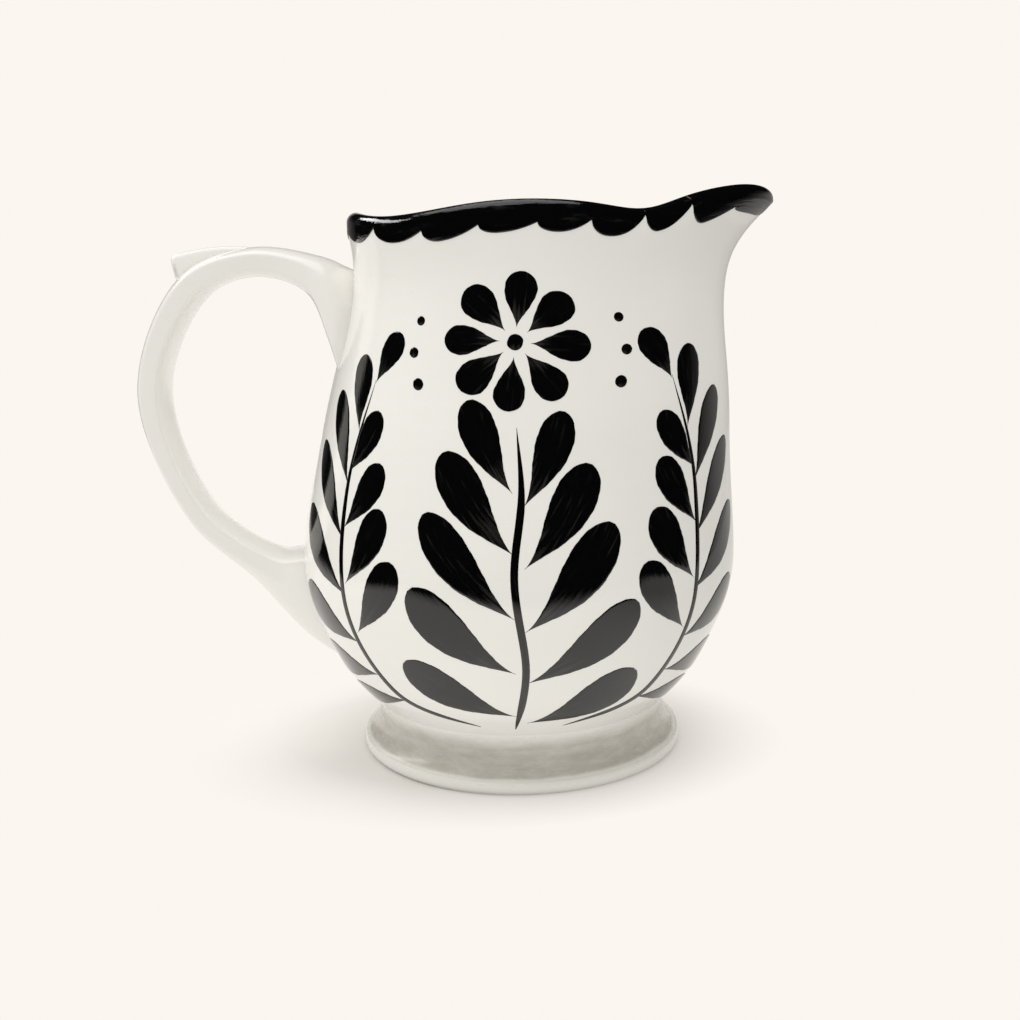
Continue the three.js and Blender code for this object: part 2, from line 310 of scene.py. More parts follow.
def makeFootGlaze(look):
    finish, tree, shader = startFinish("taupe_glaze")
    where = addNode(tree, "ShaderNodeTexCoord").outputs["Object"]
    section = partsOf(tree, addNode(tree, "ShaderNodeUVMap", uv_map="brush").outputs["UV"])["Y"]
    flat = scaled(tree, where, look["drawnOut"])
    mottle = stretch(tree, noiseOf(tree, flat, look["mottling"], 5.0, 0.62), 0.36, 0.68, 0.0, 1.0)
    # painted shade in the cove, painted light on the paler lip below it
    cove = blendColour(tree, mottle, look["cove"], look["mottle"])
    wander = noiseOf(tree, flat, look["edgeWobble"], 4.0)
    wobble = stretch(tree, wander, 0.3, 0.7, -look["wobble"], look["wobble"])
    level = combine(tree, "ADD", section, wobble)
    lip = blendColour(tree, stretch(tree, level, *look["lipEdge"], 1.0, 0.0), cove, look["lip"])
    upper = blendColour(tree, stretch(tree, level, *look["whiteEdge"], 0.0, 1.0), lip, look["white"])
    bare = stretch(tree, section, *look["clayEdge"], 1.0, 0.0)
    tree.links.new(blendColour(tree, bare, upper, look["clay"]), shader.inputs["Base Color"])
    grain = noiseOf(tree, flat, look["grain"], 3.0)
    tree.links.new(stretch(tree, grain, 0.3, 0.7, *look["gloss"]), shader.inputs["Roughness"])
    shader.inputs["IOR"].default_value = look["ior"]
    bumpFrom(tree, shader, combine(tree, "ADD", grain, mottle), *look["relief"])
    return finish


whiteGlaze = makeWhiteGlaze(whiteLook)
rimGlaze = makeBlackGlaze("black_rim_glaze", blackLook, *blackLook["rimStreaks"])
brushGlaze = makeBlackGlaze("black_brush_glaze", blackLook, *blackLook["leafStreaks"])
footGlaze = makeFootGlaze(footLook)
print("finishes ready")


# wall of the vessel: a turned profile with the spout drawn out of it
wall = {
    "profile": [(50.5, 17.5), (64.0, 35.0), (74.0, 66.5), (65.8, 111.0), (54.0, 157.0), (54.2, 176.6)],
    "thick": 5.0,
    "floorTop": 24.5,
    "seat": 176.6,  # where the rolled rim starts
    "throat": (12.9, 66.5, 157.0, 2.8),  # pull, from, to, sharpness
    "beak": (18.2, 132.2, 178.4, 2.5, 25),  # reach, from, to, curl, sharpness
    "rise": (7.4, 5),  # sides of the lip over the rim, sharpness
    "droop": (2.5, 110),  # tip of the lip
    "dip": (3.0, 4),  # hollows between the rim's crests, number of crests
    "hollow": (2.4, 49.0, 14.0),  # deeper hollow beside the spout, degrees from it, spread
    "liftFrom": 111.0,
    "underRings": (0.0, 25.0, 48.0),
    "floorRings": ((0.96, 0.4), (0.7, 0.0), (0.4, 0.0)),  # share of the inner radius, rise at the edge
    "steps": 600,  # rows of the measured profile
    "stride": 5,  # of which the mesh takes every fifth
    "around": 320,
}
rim = {
    "inner": 48.4,
    "outer": 54.5,
    "top": 182.2,
    "swellFrom": 160.0,  # the wall swells into the rolled rim from here
    "swellPast": 1.5,  # to this much over its seat
    "lineFrom": 165.0,  # the lip's own line starts here, on both sides
    "innerBlend": 8.0,
    "steps": (40, 32),  # up each side, over the top
}


def spoutShare(azimuth, sharpness):
    return ((1.0 + math.cos(azimuth)) / 2.0) ** sharpness


def pullAt(azimuth, height):
    pull, low, high, sharp = wall["throat"]
    throat = pull * smoothStep(height, low, high) * spoutShare(azimuth, sharp)
    reach, start, end, curl, beakSharp = wall["beak"]
    up = clampTo((height - start) / (end - start), 0.0, 1.0)
    return throat + reach * up**curl * spoutShare(azimuth, beakSharp)


def liftAt(azimuth, height):
    rise = wall["rise"][0] * spoutShare(azimuth, wall["rise"][1])
    droop = wall["droop"][0] * spoutShare(azimuth, wall["droop"][1])
    dip = wall["dip"][0] * (1.0 - math.cos(wall["dip"][1] * azimuth)) / 2.0
    depth, aside, spread = wall["hollow"]
    turned = abs(math.degrees(math.atan2(math.sin(azimuth), math.cos(azimuth))))
    hollow = depth * math.exp(-(((turned - aside) / spread) ** 2))
    return (rise - droop - dip - hollow) * smoothStep(height, wall["liftFrom"], wall["seat"])


def drawnOut(radius, height, azimuth):
    reach = radius + (pullAt(azimuth, height) if radius > 0.0 else 0.0)
    lifted = height + (liftAt(azimuth, height) if radius > 0.0 else 0.0)
    return ((axisX + reach * math.cos(azimuth)) * mm, reach * math.sin(azimuth) * mm, lifted * mm)


def wallCurve(t):
    marks = wall["profile"]
    last = len(marks) - 1
    at = t * last
    i = min(int(at), last - 1)
    w = at - i
    found = []
    for k in (0, 1):
        a, b = marks[max(i - 1, 0)][k], marks[i][k]
        c, d = marks[i + 1][k], marks[min(i + 2, last)][k]
        into, out = (c - a) / 2.0, (d - b) / 2.0
        cubic = (2 * b - 2 * c + into + out) * w**3 + (-3 * b + 3 * c - 2 * into - out) * w**2
        found.append(cubic + into * w + b)
    return found


def wallTable(steps):
    rows = []
    length = 0.0
    for i in range(steps + 1):
        t = i / steps
        radius, height = wallCurve(t)
        ahead, behind = wallCurve(min(t + 1e-4, 1.0)), wallCurve(max(t - 1e-4, 0.0))
        along = Vector((ahead[0] - behind[0], ahead[1] - behind[1])).normalized()
        if rows:
            length += math.hypot(radius - rows[-1][1], height - rows[-1][2])
        rows.append((length, radius, height, along.y, -along.x))
    return rows


wallRows = wallTable(wall["steps"])


def wallAt(length):
    low, high = 0, len(wallRows) - 1
    while high - low > 1:
        middle = (low + high) // 2
        if wallRows[middle][0] > length:
            high = middle
        else:
            low = middle
    span = wallRows[high][0] - wallRows[low][0]
    t = (length - wallRows[low][0]) / span
    return [mixOf(a, b, t) for a, b in zip(wallRows[low], wallRows[high])]


def outerRadius(height):
    marks = [(row[2], row[1]) for row in wallRows]
    if height >= marks[-1][0]:
        plain = marks[-1][1]
    else:
        i = next(k for k, mark in enumerate(marks) if mark[0] > height)
        t = (height - marks[i - 1][0]) / (marks[i][0] - marks[i - 1][0])
        plain = mixOf(marks[i - 1][1], marks[i][1], t)
    swell = smoothStep(height, rim["swellFrom"], wall["seat"] + rim["swellPast"])
    return plain + (rim["outer"] - marks[-1][1]) * swell


# the lip from the outside, over the rounded top, to the inside, as radius and height
def lipLine():
    half = (rim["outer"] - rim["inner"]) / 2.0
    middle, level = (rim["outer"] + rim["inner"]) / 2.0, rim["top"] - half
    low = rim["lineFrom"]
    sideSteps, topSteps = rim["steps"]
    line = []
    for i in range(sideSteps):
        height = mixOf(low, level, i / sideSteps)
        line.append((outerRadius(height), height))
    for i in range(topSteps + 1):
        angle = math.pi * i / topSteps
        line.append((middle + half * math.cos(angle), level + half * math.sin(angle)))
    for i in range(1, sideSteps + 1):
        height = mixOf(level, low, i / sideSteps)
        inside = outerRadius(height) - wall["thick"]
        blend = smoothStep(level - height, 0.0, rim["innerBlend"])
        line.append((mixOf(rim["inner"], inside, blend), height))
    return line


def turnedPiece(name, profile, azimuths, finish, nodes):
    points, faces, rings = [], [], []
    for radius, height in profile:
        if radius <= 0.0:
            points.append((axisX * mm, 0.0, height * mm))
            rings.append([len(points) - 1])
            continue
        start = len(points)
        points.extend(drawnOut(radius, height, azimuth) for azimuth in azimuths)
        rings.append(list(range(start, len(points))))
    for low, high in zip(rings, rings[1:]):
        count = max(len(low), len(high))
        for i in range(count):
            j = (i + 1) % count
            if len(low) == 1:
                faces.append((low[0], high[j], high[i]))
            elif len(high) == 1:
                faces.append((low[i], low[j], high[0]))
            else:
                faces.append((low[i], low[j], high[j], high[i]))
    return makePiece(name, points, faces, finish, nodes, sharpAngle=50.0)


def evenAround(count, crowd=0.4):
    evens = [2.0 * math.pi * i / count for i in range(count)]
    return [even - crowd * math.sin(even) for even in evens]


def makeWall():
    lip = lipLine()
    lowest = lip[0][1]
    stride, thick, floorTop = wall["stride"], wall["thick"], wall["floorTop"]
    bottom = wall["profile"][0][1]
    profile = [(radius, bottom) for radius in wall["underRings"]]
    profile += [(row[1], row[2]) for row in wallRows[::stride] if row[2] < lowest]
    profile += lip
    inside = []
    for row in wallRows[::-stride]:
        radius, height, nr, nz = row[1:]
        point = (radius - nr * thick, height - nz * thick)
        if floorTop < point[1] < lip[-1][1] - 0.5:
            inside.append(point)
    profile += inside
    profile += [(inside[-1][0] * share, floorTop + rise) for share, rise in wall["floorRings"]]
    profile.append((0.0, floorTop))
    nodes = ("vessel_body", "pouring_spout")
    turnedPiece("glazed_wall", profile, evenAround(wall["around"]), whiteGlaze, nodes)


makeWall()


# black glaze over the rim, its lower edge brushed in lobes
band = {
    # azimuth in degrees and height of the white points between the lobes
    "points": [
        (-168.0, 178.0), (-141.0, 178.9), (-119.5, 176.6), (-100.5, 175.8), (-83.0, 175.7),
        (-67.5, 177.1), (-51.0, 180.4), (-35.0, 180.2), (-20.0, 175.8), (1.5, 177.4),
        (20.0, 176.2), (36.0, 179.8), (52.0, 179.6), (68.0, 177.0), (84.0, 176.0),
        (101.0, 176.0), (119.0, 176.8), (138.0, 177.8), (157.0, 178.2), (175.0, 177.8),
    ],
    # azimuth and height of each lobe's lowest place
    "lobes": [
        (-154.5, 173.9), (-130.5, 174.2), (-113.0, 172.8), (-94.5, 173.1), (-77.5, 173.1),
        (-63.0, 173.2), (-47.0, 175.4), (-30.0, 173.3), (-9.0, 173.4), (9.5, 173.6),
        (26.0, 173.4), (42.0, 175.0), (58.0, 173.4), (74.0, 172.9), (91.0, 173.2),
        (108.5, 173.0), (127.0, 173.5), (146.0, 173.8), (165.0, 173.4), (183.5, 173.8),
    ],
    "leftFlank": 2.0,  # round fall from a point into its lobe
    "rightFlank": 2.1,  # hollow rise to the next point
    "inner": 175.6,  # lower edge inside the mouth
    "innerWaves": ((0.7, 7), (0.4, 19)),  # their height and number
    "seed": 11,
    "film": 0.3,
    "filmEdge": 60,  # how sharply the film is rounded off
    "sunk": 0.25,
    "strokeScale": (5.5, 14.0),  # brush streaks: times the turn, millimetres across
    "perLobe": 40,
    "across": 44,
}


def lobeEdge():
    edge = []
    marks = band["points"] + [(band["points"][0][0] + 360.0, band["points"][0][1])]
    for i, (lobeAt, lobeLow) in enumerate(band["lobes"]):
        (left, leftTop), (right, rightTop) = marks[i], marks[i + 1]
        for k in range(band["perLobe"]):
            at = mixOf(left, right, k / band["perLobe"])
            if at < lobeAt:
                t = 1.0 - (at - left) / (lobeAt - left)
                level = mixOf(leftTop, lobeLow, (1.0 - t ** band["leftFlank"]) ** (1.0 / band["leftFlank"]))
            else:
                t = (at - lobeAt) / (right - lobeAt)
                level = mixOf(lobeLow, rightTop, t ** band["rightFlank"])
            edge.append((math.radians(at), level))
    return edge


def placeOn(line, lengths, wanted):
    i = 1
    while i < len(lengths) - 1 and lengths[i] < wanted:
        i += 1
    t = clampTo((wanted - lengths[i - 1]) / (lengths[i] - lengths[i - 1]), 0.0, 1.0)
    radius, height = (mixOf(line[i - 1][k], line[i][k], t) for k in (0, 1))
    along = Vector((line[i][0] - line[i - 1][0], line[i][1] - line[i - 1][1])).normalized()
    return radius, height, along.y, -along.x


def lengthAt(line, lengths, level, outside):
    steps = range(1, len(line)) if outside else range(len(line) - 1, 0, -1)
    for i in steps:
        low, high = (i - 1, i) if outside else (i, i - 1)
        if line[low][1] <= level <= line[high][1]:
            t = (level - line[low][1]) / max(line[high][1] - line[low][1], 1e-6)
            return mixOf(lengths[low], lengths[high], t)
    return 0.0


def makeRimBand():
    line = lipLine()
    lengths = [0.0]
    for before, after in zip(line, line[1:]):
        lengths.append(lengths[-1] + math.hypot(after[0] - before[0], after[1] - before[1]))
    edge = lobeEdge()
    across = band["across"]
    turnScale, acrossScale = band["strokeScale"]
    points, uvs = [], []
    wander = random.Random(band["seed"])
    phases = [wander.uniform(0.0, 6.28) for wave in band["innerWaves"]]
    for azimuth, level in edge:
        turned = abs(math.atan2(math.sin(azimuth), math.cos(azimuth)))  # same on both sides of the spout
        start = lengthAt(line, lengths, level, True)
        innerLevel = band["inner"]
        for (tall, number), phase in zip(band["innerWaves"], phases):
            innerLevel += tall * math.sin(number * azimuth + phase)
        end = lengthAt(line, lengths, innerLevel, False)
        top, bottom, spread = [], [], []
        for k in range(across + 1):
            t = (1.0 - math.cos(math.pi * k / across)) / 2.0  # close together along both edges
            along = mixOf(start, end, t)
            radius, height, nr, nz = placeOn(line, lengths, along)
            proud = band["film"] * (1.0 - abs(2 * t - 1) ** band["filmEdge"]) ** 0.5
            top.append(drawnOut(radius + nr * proud, height + nz * proud, azimuth))
            bottom.append(drawnOut(radius - nr * band["sunk"], height - nz * band["sunk"], azimuth))
            spread.append((turned * turnScale, along / acrossScale))
        points.extend(top + bottom[::-1])
        uvs.extend(spread + spread[::-1])
    faces = ringFaces(len(edge), 2 * (across + 1), closed=True)
    makePiece("rim_band", points, faces, rimGlaze, ("rim_bead",), uvs, sharpAngle=60.0)


makeRimBand()


# flared foot
foot = {
    "radius": 56.0,
    "lip": 4.4,
    "round": 2.2,
    "stand": 8.0,
    "cove": (48.7, 7.9),  # where the cove is pulled to
    "coveEnd": 0.3,  # under the top
    "crease": 50.5,
    "top": 17.5,
    "fillet": 1.8,  # glaze that fills the crease
    "filletProud": 0.03,
    "tuck": (3.0, 0.6),  # in under the wall: inwards, upwards
    "innerTop": (41.5, 0.3),  # radius, rise over the top
    "innerLean": 0.2,
    "innerEdge": 1.2,  # height of the ring's rounded inner edge
    "innerFlat": 1.0,  # its depth
    "bare": (-9.0, -4.0),  # section lengths underneath, where the clay is bare
    "around": 256,
}


def bend(a, b, c, steps):
    made = []
    for i in range(1, steps + 1):
        t = i / steps
        made.append(tuple((1 - t) ** 2 * a[k] + 2 * t * (1 - t) * b[k] + t * t * c[k] for k in (0, 1)))
    return made


def makeFoot():
    outer, lip, roll = foot["radius"], foot["lip"], foot["round"]
    standOuter, crease, top = outer - roll, foot["crease"], foot["top"]
    standInner = standOuter - foot["stand"]
    middle = mixOf(standInner, standOuter, 0.5)
    under = [(standInner + foot["innerFlat"], 0.0), (middle, 0.0), (standOuter, 0.0)]
    side = bend((standOuter, 0.0), (outer, 0.0), (outer, lip / 2), 8)
    side += bend((outer, lip / 2), (outer, lip), (outer - roll / 2, lip), 8)
    cove = bend((outer - roll / 2, lip), foot["cove"], (crease, top - foot["coveEnd"]), 40)
    side += [point for point in cove if point[1] < top - foot["fillet"]]
    radius, height, nr, nz = wallAt(foot["fillet"])[1:]
    proud = foot["filletProud"]
    side += bend(side[-1], (crease, top), (radius + nr * proud, height + nz * proud), 10)
    innerTop, innerRise = foot["innerTop"]
    tuckIn, tuckUp = foot["tuck"]
    inside = [(crease - tuckIn, top + tuckUp), (innerTop, top + innerRise)]
    inside += bend(inside[-1], (innerTop + foot["innerLean"], top * 0.5), (standInner, foot["innerEdge"]), 10)
    inside += bend(inside[-1], (standInner + 0.1, 0.05), under[0], 4)[:-1]
    profile = under + side + inside
    lengths = [*foot["bare"], 0.0]
    for before, after in zip(profile[2:], profile[3:]):
        step = math.hypot(after[0] - before[0], after[1] - before[1])
        lengths.append(lengths[-1] + step if len(lengths) < len(under + side) else foot["bare"][0])
    azimuths = evenAround(foot["around"], 0.0)
    points, uvs = [], []
    for (radius, height), length in zip(profile, lengths):
        points.extend(drawnOut(radius, height, azimuth) for azimuth in azimuths)
        uvs.extend((azimuth, length) for azimuth in azimuths)
    faces = ringFaces(len(profile), len(azimuths), closed=True)
    nodes = ("foot_ring",)
    makePiece("foot_ring_glazed", points, faces, footGlaze, nodes, uvs, sharpAngle=50.0)
    print("foot section", round(max(lengths), 1), "mm from lip to belly")


makeFoot()


# handle: an outer and an inner edge line, and a section between them, arched outside and flat at the sides
handle = {
    # reach from the axis, height, thickness
    "stations": [
        (66.0, 162.5, 13.2), (87.0, 167.2, 9.8), (107.6, 159.3, 10.4),
        (123.2, 125.0, 9.6), (109.8, 82.8, 8.8), (87.5, 63.7, 13.6),
    ],
    # height and stand-off from the wall, outer edge then inner edge
    "upperRoot": (162.2, -4.4, 126.0, -4.4),
    "upperCheek": (165.2, 2.7, 139.8, 3.0),
    "lowerCheek": (36.8, 8.0, 69.0, 2.4),
    "lowerRoot": (22.0, -4.4, 69.8, -4.4),
    "width": 20.0,
    "rootWidths": (36.0, 27.0),
    "upperFlare": (0.5, 2.8),  # widening, counted in edge marks from the upper root
    "lowerFlare": (6.0, 8.4),
    # along the section, -1 at the outer edge and 1 at the inner: where its sides are flat
    "strapFlat": (-0.4, 0.55),
    "rootFlats": ((0.35, 0.75), (0.35, 0.88)),
    # fullness of the rounds, on the strap and at the roots
    "outerRound": (1.7, 2.0),
    "innerRound": (2.2, 2.0),
    "sectionSteps": (14, 6, 12),  # half a section: outer round, flat side, inner round
    "steps": 200,
}


def rootEdges(marks):
    outerHeight, outerStand, innerHeight, innerStand = marks
    return (
        Vector((-outerRadius(outerHeight) - outerStand, outerHeight)),
        Vector((-outerRadius(innerHeight) - innerStand, innerHeight)),
    )


def handleEdges():
    upper, lower = rootEdges(handle["upperCheek"]), rootEdges(handle["lowerCheek"])
    middles = [(upper[0] + upper[1]) / 2.0]
    middles += [Vector((-reach, height)) for reach, height, thick in handle["stations"]]
    middles.append((lower[0] + lower[1]) / 2.0)
    rootOuter, rootInner = rootEdges(handle["upperRoot"])
    outer, inner = [rootOuter, upper[0]], [rootInner, upper[1]]
    for i, (reach, height, thick) in enumerate(handle["stations"]):
        along = (middles[i + 2] - middles[i]).normalized()
        inwards = Vector((-along.y, along.x))
        outer.append(middles[i + 1] - inwards * thick / 2.0)
        inner.append(middles[i + 1] + inwards * thick / 2.0)
    low = rootEdges(handle["lowerRoot"])
    return outer + [lower[0], low[0]], inner + [lower[1], low[1]]


def throughPoints(marks, t):
    last = len(marks) - 1
    at = t * last
    i = min(int(at), last - 1)
    w = at - i
    p1, p2 = marks[i], marks[i + 1]
    p0 = marks[i - 1] if i > 0 else p1 * 2.0 - p2
    p3 = marks[i + 2] if i + 2 <= last else p2 * 2.0 - p1
    d0, d1, d2 = (max((b - a).length, 1e-6) ** 0.5 for a, b in ((p0, p1), (p1, p2), (p2, p3)))
    t1 = ((p1 - p0) / d0 - (p2 - p0) / (d0 + d1) + (p2 - p1) / d1) * d1
    t2 = ((p2 - p1) / d1 - (p3 - p1) / (d1 + d2) + (p3 - p2) / d2) * d1
    cubic = (p1 * 2.0 - p2 * 2.0 + t1 + t2) * w**3
    return cubic + (p2 * 3.0 - p1 * 3.0 - t1 * 2.0 - t2) * w**2 + t1 * w + p1


def strapSection(flare, rootFlat):
    (strapFrom, strapTo), (rootFrom, rootTo) = handle["strapFlat"], rootFlat
    first, last = mixOf(strapFrom, rootFrom, flare), mixOf(strapTo, rootTo, flare)
    outer, inner = mixOf(*handle["outerRound"], flare), mixOf(*handle["innerRound"], flare)
    outerSteps, flatSteps, innerSteps = handle["sectionSteps"]
    half = []
    for i in range(outerSteps + 1):
        t = math.cos(math.pi / 2 * i / outerSteps)
        half.append((first - t * (1.0 + first), max(1.0 - t**outer, 0.0) ** (1.0 / outer)))
    half += [(mixOf(first, last, i / flatSteps), 1.0) for i in range(1, flatSteps + 1)]
    for i in range(1, innerSteps + 1):
        t = math.sin(math.pi / 2 * i / innerSteps)
        half.append((mixOf(last, 1.0, t), max(1.0 - t**inner, 0.0) ** (1.0 / inner)))
    return half + [(u, -v) for u, v in half[-2:0:-1]]


def makeHandle():
    outerEdge, innerEdge = handleEdges()
    steps = handle["steps"]
    points = []
    for i in range(steps + 1):
        t = i / steps
        outer, inner = throughPoints(outerEdge, t), throughPoints(innerEdge, t)
        middle, inwards = (outer + inner) / 2.0, inner - outer
        thick = inwards.length
        inwards.normalize()
        mark = t * (len(outerEdge) - 1)
        flare = max(1.0 - smoothStep(mark, *handle["upperFlare"]), smoothStep(mark, *handle["lowerFlare"]))
        root = 0 if t < 0.5 else 1  # the nearer one, upper or lower
        wide = mixOf(handle["width"], handle["rootWidths"][root], flare)
        section = strapSection(flare, handle["rootFlats"][root])
        sides = len(section)
        for u, v in section:
            place = middle + inwards * (u * thick / 2.0)
            points.append(((axisX + place.x) * mm, v * wide / 2.0 * mm, place.y * mm))
    faces = ringFaces(steps + 1, sides)
    faces.append(tuple(range(sides - 1, -1, -1)))
    faces.append(tuple(range(steps * sides, (steps + 1) * sides)))
    nodes = ("handle_strap", "upper_handle_collar", "lower_handle_collar")
    makePiece("handle_glazed", points, faces, whiteGlaze, nodes, sharpAngle=60.0)


makeHandle()


# thumb rest: a blunt spur on the handle's bend
spur = {
    "crown": (87.0, 167.3, 172.9),  # reach, middle of the strap there, level of the spur's top
    "sunk": 0.9,  # the upper edge leaves the strap this much under that level
    "arch": 0.7,  # and is pulled this much over it
    "end": (113.7, 169.6),
    "lean": (0.4, 2.6),  # how the end leans in, halfway and at its foot
    "depth": 9.2,
    "foot": 107.6,
    "width": (6.0, 13.0),  # along the top, and down at the strap's middle
    "round": 1.6,
    "roundFrom": 0.6,  # edges with a sharper turn than this, in radians, are rounded
}


def makeSpur():
    reach, middle, top = spur["crown"]
    endReach, endTop = spur["end"]
    low = endTop - spur["depth"]
    halfLean, footLean = spur["lean"]
    outline = [(-reach, middle), (-reach, top - spur["sunk"])]
    outline += bend(outline[-1], (-(reach + endReach) / 2, top + spur["arch"]), (-endReach, endTop), 10)
    halfway = (-endReach + halfLean, mixOf(endTop, low, 0.5))
    outline += bend(outline[-1], halfway, (-endReach + footLean, low), 4)
    outline.append((-spur["foot"], low))
    count = len(outline)
    points = []
    for side in (-0.5, 0.5):
        for x, z in outline:
            wide = mixOf(*spur["width"], clampTo((top - z) / spur["depth"], 0.0, 1.0))
            points.append(((axisX + x) * mm, side * wide * mm, z * mm))
    faces = [tuple(range(count)), tuple(range(2 * count - 1, count - 1, -1))]
    faces += [(k, (k + 1) % count, (k + 1) % count + count, k + count) for k in range(count)]
    piece = makePiece("thumb_spur", points, faces, whiteGlaze, ("thumb_rest",))
    soft = bmesh.new()
    soft.from_mesh(piece.data)
    edges = [edge for edge in soft.edges if edge.calc_face_angle(0.0) > spur["roundFrom"]]
    bmesh.ops.bevel(soft, geom=edges, offset=spur["round"] * mm, segments=6, profile=0.5, affect="EDGES")
    for face in soft.faces:
        face.smooth = True
    soft.to_mesh(piece.data)
    soft.free()
    piece.data.set_sharp_from_angle(angle=math.radians(40.0))


makeSpur()


# leafy brushwork on both sides, laid out flat: x runs round the wall, y up it, both in millimetres
sprigs = {
    "sideways": [math.radians(-90.0), math.radians(90.0)],  # middle of each painted side
    "seeds": (5, 9),  # of the hand's wobble
    # middle sprig, its pairs of leaves by height, heading, length and width
    "middleStem": [(-2.0, 6.0), (1.5, 34.0), (-1.5, 64.0), (1.0, 88.0), (0.0, 108.0)],
    "pairs": [
        (10, 72, 40, 13.5), (29, 63, 43, 14), (48, 56, 42, 13.5), (67, 47, 37, 12.5), (85, 36, 29, 10.5),
    ],
    "pairApart": (1.6, 4),  # from the stem, the left leaf over the right one
    "pairTurn": 26,
    "rosette": (133.0, 8, 4.4, 6.0),  # height, petals, hollow in the middle, turned by
    "petal": (16.5, 9.6),  # length, width
    "rosetteDot": 4.8,
    # right sprig, mirrored on the left, its leaves by place, outward and inward heading and size
    "sideStem": [(13, 7), (42, 19), (60, 48), (60, 86), (47, 122)],
    "sideLeaves": [
        (38, 17, 110, 0, 0.9), (49, 26, 96, 0, 1.0), (56, 38, 78, -42, 1.0), (60, 54, 60, -44, 1.0),
        (61, 71, 42, -46, 0.9), (59.5, 88, 24, -48, 0.8), (54.5, 105, 6, 0, 0.7),
    ],
    "outward": (37, 13.2, -18),  # length, width, turn
    "inward": (30, 11.0, 16),
    "tip": (47, 121, -30, 19, 8.4, -8),  # place, heading, length, width, turn
    "sideDots": [(30, 121, 3.8), (31.5, 131, 3.4), (29, 141, 3.0)],  # place, size
    "stemWidths": (2.3, 2.1),  # middle, sides
    # wobble of the hand
    "headings": (-2.0, 2.0),
    "lengths": (0.96, 1.04),
    "turns": (-4.0, 4.0),
    "widths": (0.94, 1.06),
    "ripples": ((0.12, 0.9), (0.08, 2.3)),  # depth and pace along the edges
    "rippleFrom": 1.5,  # half width of the strokes that have them
    "rippleShare": 0.6,
    # the glaze
    "film": 0.16,  # how thick it stands on the wall
    "fullFrom": 1.2,  # half width of the strokes that are this thick
    "crown": 1.04,  # times as thick along the middle
    "edgeLift": 0.02,
    "edgeParts": (0.0, 0.1, 0.28, 0.55, 1.0),  # places across the rounded edge
    "curl": (0.75, 0.7),  # width of its rounded edge, at most this share of half the stroke
    "sunk": 0.2,
    "tail": (0.1, 0.55),  # worn thin up to here, full from here
    "strokeScale": 4.0,  # brush streaks, in millimetres
    "stations": 44,  # along a stroke
}


def leafSpine(start, heading, length, turn):
    spine = []
    place = Vector(start)
    count = sprigs["stations"]
    for i in range(count + 1):
        spine.append(place.copy())
        t = (i + 0.5) / count
        angle = math.radians(heading + turn * t)
        place = place + Vector((math.sin(angle), math.cos(angle))) * (length / count)
    return spine


def dropWidth(t):
    head = 0.7
    if t < head:
        return math.sin(t / head * math.pi / 2) ** 1.5
    return math.sqrt(max(1.0 - ((t - head) / (1.0 - head)) ** 2.1, 0.0))


def lineWidth(t):
    start, end = 0.12, 0.3  # shares that taper
    first = (t / start) ** 0.6 if t < start else 1.0
    last = ((1.0 - t) / end) ** 0.8 if t > 1.0 - end else 1.0
    return min(first, last)


def dotWidth(t):
    return math.sqrt(max(1.0 - (2 * t - 1) ** 2, 0.0))


def sprigStrokes(hand):
    strokes = []

    def leaf(x, y, heading, length, width, turn):
        heading += hand.uniform(*sprigs["headings"])
        length *= hand.uniform(*sprigs["lengths"])
        turn += hand.uniform(*sprigs["turns"])
        width *= hand.uniform(*sprigs["widths"])
        strokes.append((leafSpine((x, y), heading, length, turn), dropWidth, width))

    def stem(marks, width):
        path = [Vector(mark) for mark in marks]
        spine = [throughPoints(path, i / sprigs["stations"]) for i in range(sprigs["stations"] + 1)]
        strokes.append((spine, lineWidth, width))

    def dot(x, y, size):
        strokes.append((leafSpine((x, y - size / 2), 0.0, size, 0.0), dotWidth, size * 0.95))

    # middle sprig with a rosette
    middleWidth, sideWidth = sprigs["stemWidths"]
    stem(sprigs["middleStem"], middleWidth)
    apart, over = sprigs["pairApart"]
    turn = sprigs["pairTurn"]
    for y, heading, length, width in sprigs["pairs"]:
        leaf(apart, y, heading, length, width, -turn)
        leaf(-apart, y + over, -heading, length, width, turn)
    level, petals, hollow, turned = sprigs["rosette"]
    for k in range(petals):
        heading = k * (360.0 / petals) + turned
        way = Vector((math.sin(math.radians(heading)), math.cos(math.radians(heading))))
        leaf(way.x * hollow, level + way.y * hollow, heading, *sprigs["petal"], 0.0)
    dot(0.0, level, sprigs["rosetteDot"])
    # a sprig on either side
    outLong, outWide, outTurn = sprigs["outward"]
    inLong, inWide, inTurn = sprigs["inward"]
    for side in (-1.0, 1.0):
        stem([(side * x, y) for x, y in sprigs["sideStem"]], sideWidth)
        for x, y, out, into, size in sprigs["sideLeaves"]:
            leaf(side * x, y, side * out, outLong * size, outWide * size, side * outTurn)
            if into:
                leaf(side * x, y + over, side * into, inLong * size, inWide * size, side * inTurn)
        x, y, heading, length, width, turn = sprigs["tip"]
        leaf(side * x, y, side * heading, length, width, side * turn)
        for x, y, size in sprigs["sideDots"]:
            dot(side * x, y, size)
    return strokes


def onWall(middle, x, y, proud):
    radius, height, nr, nz = wallAt(y)[1:]
    azimuth = middle + x / radius
    return drawnOut(radius + nr * proud, height + nz * proud, azimuth)


